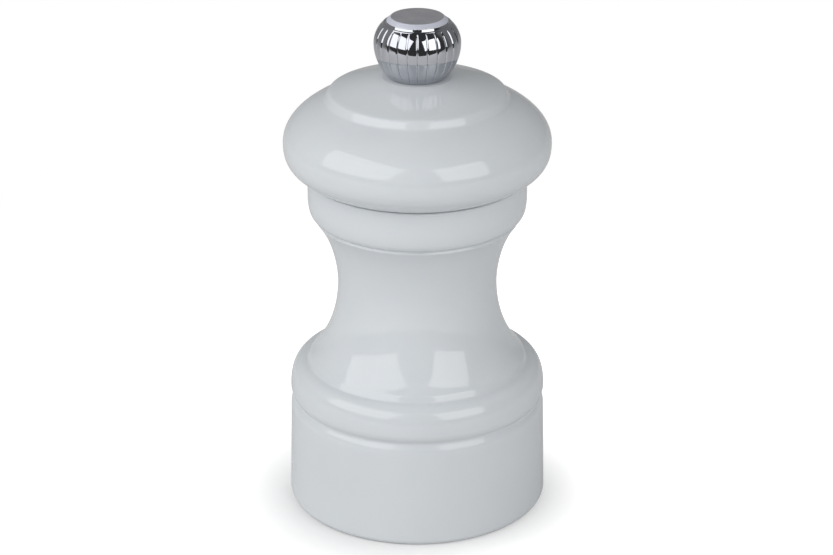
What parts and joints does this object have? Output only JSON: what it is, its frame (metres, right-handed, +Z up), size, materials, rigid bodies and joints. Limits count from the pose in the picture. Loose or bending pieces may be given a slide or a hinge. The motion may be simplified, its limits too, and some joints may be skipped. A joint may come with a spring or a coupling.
{
  "type": "pepper mill",
  "caption": "Small turned pepper mill with a waisted lacquered body, a turning head, a fluted metal adjusting knob and a steel burr mechanism.",
  "frame": {"origin": "centre of the ring face that the mill stands on", "axes": "+Z up along the mill's axis, +X and +Y in the plane it stands on; the bridge bar of the mechanism lies along X"},
  "size_m": [0.0518, 0.0518, 0.1],
  "materials": {
    "lacquered_wood": "white gloss lacquer on beech",
    "chrome": "polished",
    "satin_disc": "satin",
    "brass": "turned",
    "nylon": "natural nylon",
    "zinc_steel": "zinc-plated stamped steel",
    "bright_steel": "drawn bright steel",
    "spring_steel": "blued spring steel",
    "burr_steel": "case-hardened machined steel"
  },
  "bodies": {
    "body": {"mill_body": "lacquered_wood", "burr_holder": "zinc_steel", "stator_ring": "burr_steel", "bridge_bar": "zinc_steel", "bridge_rivets": "zinc_steel", "mechanism_screws": "zinc_steel"},
    "guide": {"guide_bush": "brass", "rotor_spring": "spring_steel"},
    "shaft": {"drive_shaft": "bright_steel", "shaft_stop_clip": "spring_steel", "spring_seat": "zinc_steel", "rotor_burr": "burr_steel", "rotor_washer": "zinc_steel", "rotor_nut": "zinc_steel"},
    "head": {"mill_head": "lacquered_wood", "drive_plate": "zinc_steel", "drive_plate_screws": "zinc_steel"},
    "knob_washer": {"knob_glide_washer": "nylon"},
    "knob": {"grind_knob": "chrome", "knob_top_disc": "satin_disc", "knob_thread_bush": "brass"}
  },
  "joints": [
    {"name": "grind_turn", "type": "hinge", "parent": "body", "child": "guide", "pos_m": [0, 0, 0.0235], "axis": [0, 0, 1], "continuous": true},
    {"name": "rotor_lift", "type": "slide", "parent": "guide", "child": "shaft", "axis": [0, 0, 1], "range_m": [-0.00125, 0.00085], "deforming": ["rotor_spring"]},
    {"name": "head_lift", "type": "slide", "parent": "guide", "child": "head", "axis": [0, 0, 1], "range_m": [0, 0.045]},
    {"name": "knob_lift", "type": "slide", "parent": "head", "child": "knob_washer", "axis": [0, 0, 1], "range_m": [0, 0.02]},
    {"name": "knob_turn", "type": "hinge", "parent": "knob_washer", "child": "knob", "pos_m": [0, 0, 0.094], "axis": [0, 0, 1], "range_deg": [-360, 540]}
  ],
  "couplings": [
    {"joint": "rotor_lift", "follows": "knob_turn", "m_per_rad": -0.00012732}
  ]
}
